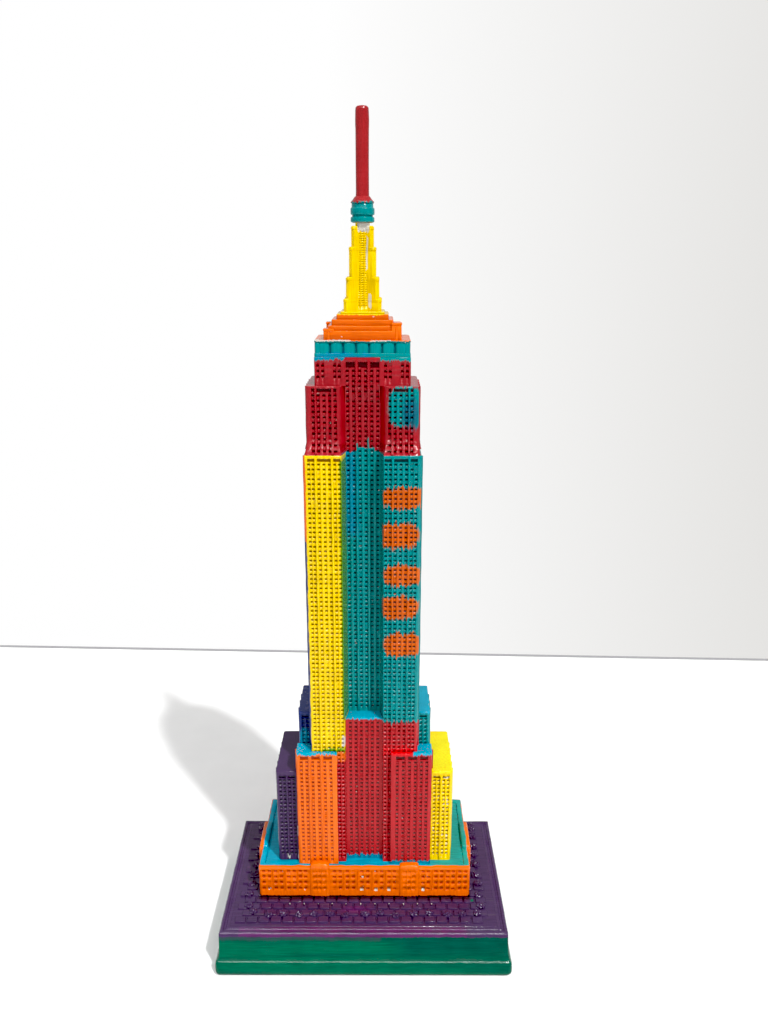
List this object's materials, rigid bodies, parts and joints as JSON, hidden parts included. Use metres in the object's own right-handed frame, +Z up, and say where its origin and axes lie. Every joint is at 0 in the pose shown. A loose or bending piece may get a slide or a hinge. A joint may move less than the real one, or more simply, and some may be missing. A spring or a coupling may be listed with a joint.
{
  "type": "miniature landmark model",
  "caption": "Hand-painted miniature of a stepped Art Deco skyscraper on a moulded plinth, with a mast and an antenna rod, for a shelf or desk.",
  "frame": {"origin": "centre of the plinth's underside", "axes": "+Z up the tower, the entrance front faces -Y, +X to the right of the front"},
  "size_m": [0.1394, 0.0876, 0.381],
  "materials": {
    "green_paint": "gloss",
    "purple_paint": "gloss",
    "orange_paint": "gloss",
    "blue_paint": "gloss",
    "navy_paint": "gloss",
    "yellow_paint": "gloss",
    "teal_paint": "gloss",
    "red_paint": "gloss",
    "felt": "matte",
    "steel": "satin"
  },
  "bodies": {
    "root": {"antenna_pin": "steel", "antenna_rod": "red_paint", "base_screws": "steel", "corner_pylon_front_left": "orange_paint", "corner_pylon_front_right": "orange_paint", "corner_pylon_rear_left": "orange_paint", "corner_pylon_rear_right": "orange_paint", "cornice_band": "teal_paint", "cornice_frieze": "teal_paint", "crown_block_left": "red_paint", "crown_block_right": "red_paint", "entrance_bay_front_left": "orange_paint", "entrance_bay_front_right": "orange_paint", "entrance_bay_rear_left": "orange_paint", "entrance_bay_rear_right": "orange_paint", "felt_pad": "felt", "lower_centre_bay_front": "red_paint", "lower_centre_bay_rear": "red_paint", "mast_core": "yellow_paint", "mast_fin_front_left": "yellow_paint", "mast_fin_front_right": "yellow_paint", "mast_fin_rear_left": "yellow_paint", "mast_fin_rear_right": "yellow_paint", "mast_plinth": "yellow_paint", "paving_slab": "purple_paint", "plinth": "green_paint", "podium": "orange_paint", "podium_parapet": "orange_paint", "ring_drum": "teal_paint", "rod_collar": "red_paint", "roof_deck": "blue_paint", "roof_slab": "orange_paint", "roof_step_1": "orange_paint", "roof_step_2": "orange_paint", "roof_step_3": "orange_paint", "roof_step_4": "orange_paint", "shaft_core": "teal_paint", "shaft_pier_front_left": "yellow_paint", "shaft_pier_front_right": "teal_paint", "shaft_pier_rear_left": "navy_paint", "shaft_pier_rear_right": "teal_paint", "side_bay_left": "orange_paint", "side_bay_right": "orange_paint", "side_block_left": "purple_paint", "side_block_right": "yellow_paint", "tier_block_left": "navy_paint", "tier_block_right": "teal_paint", "upper_block_left": "red_paint", "upper_block_right": "red_paint", "wing_front_left": "orange_paint", "wing_front_right": "red_paint", "wing_rear_left": "navy_paint", "wing_rear_right": "orange_paint"}
  },
  "joints": []
}
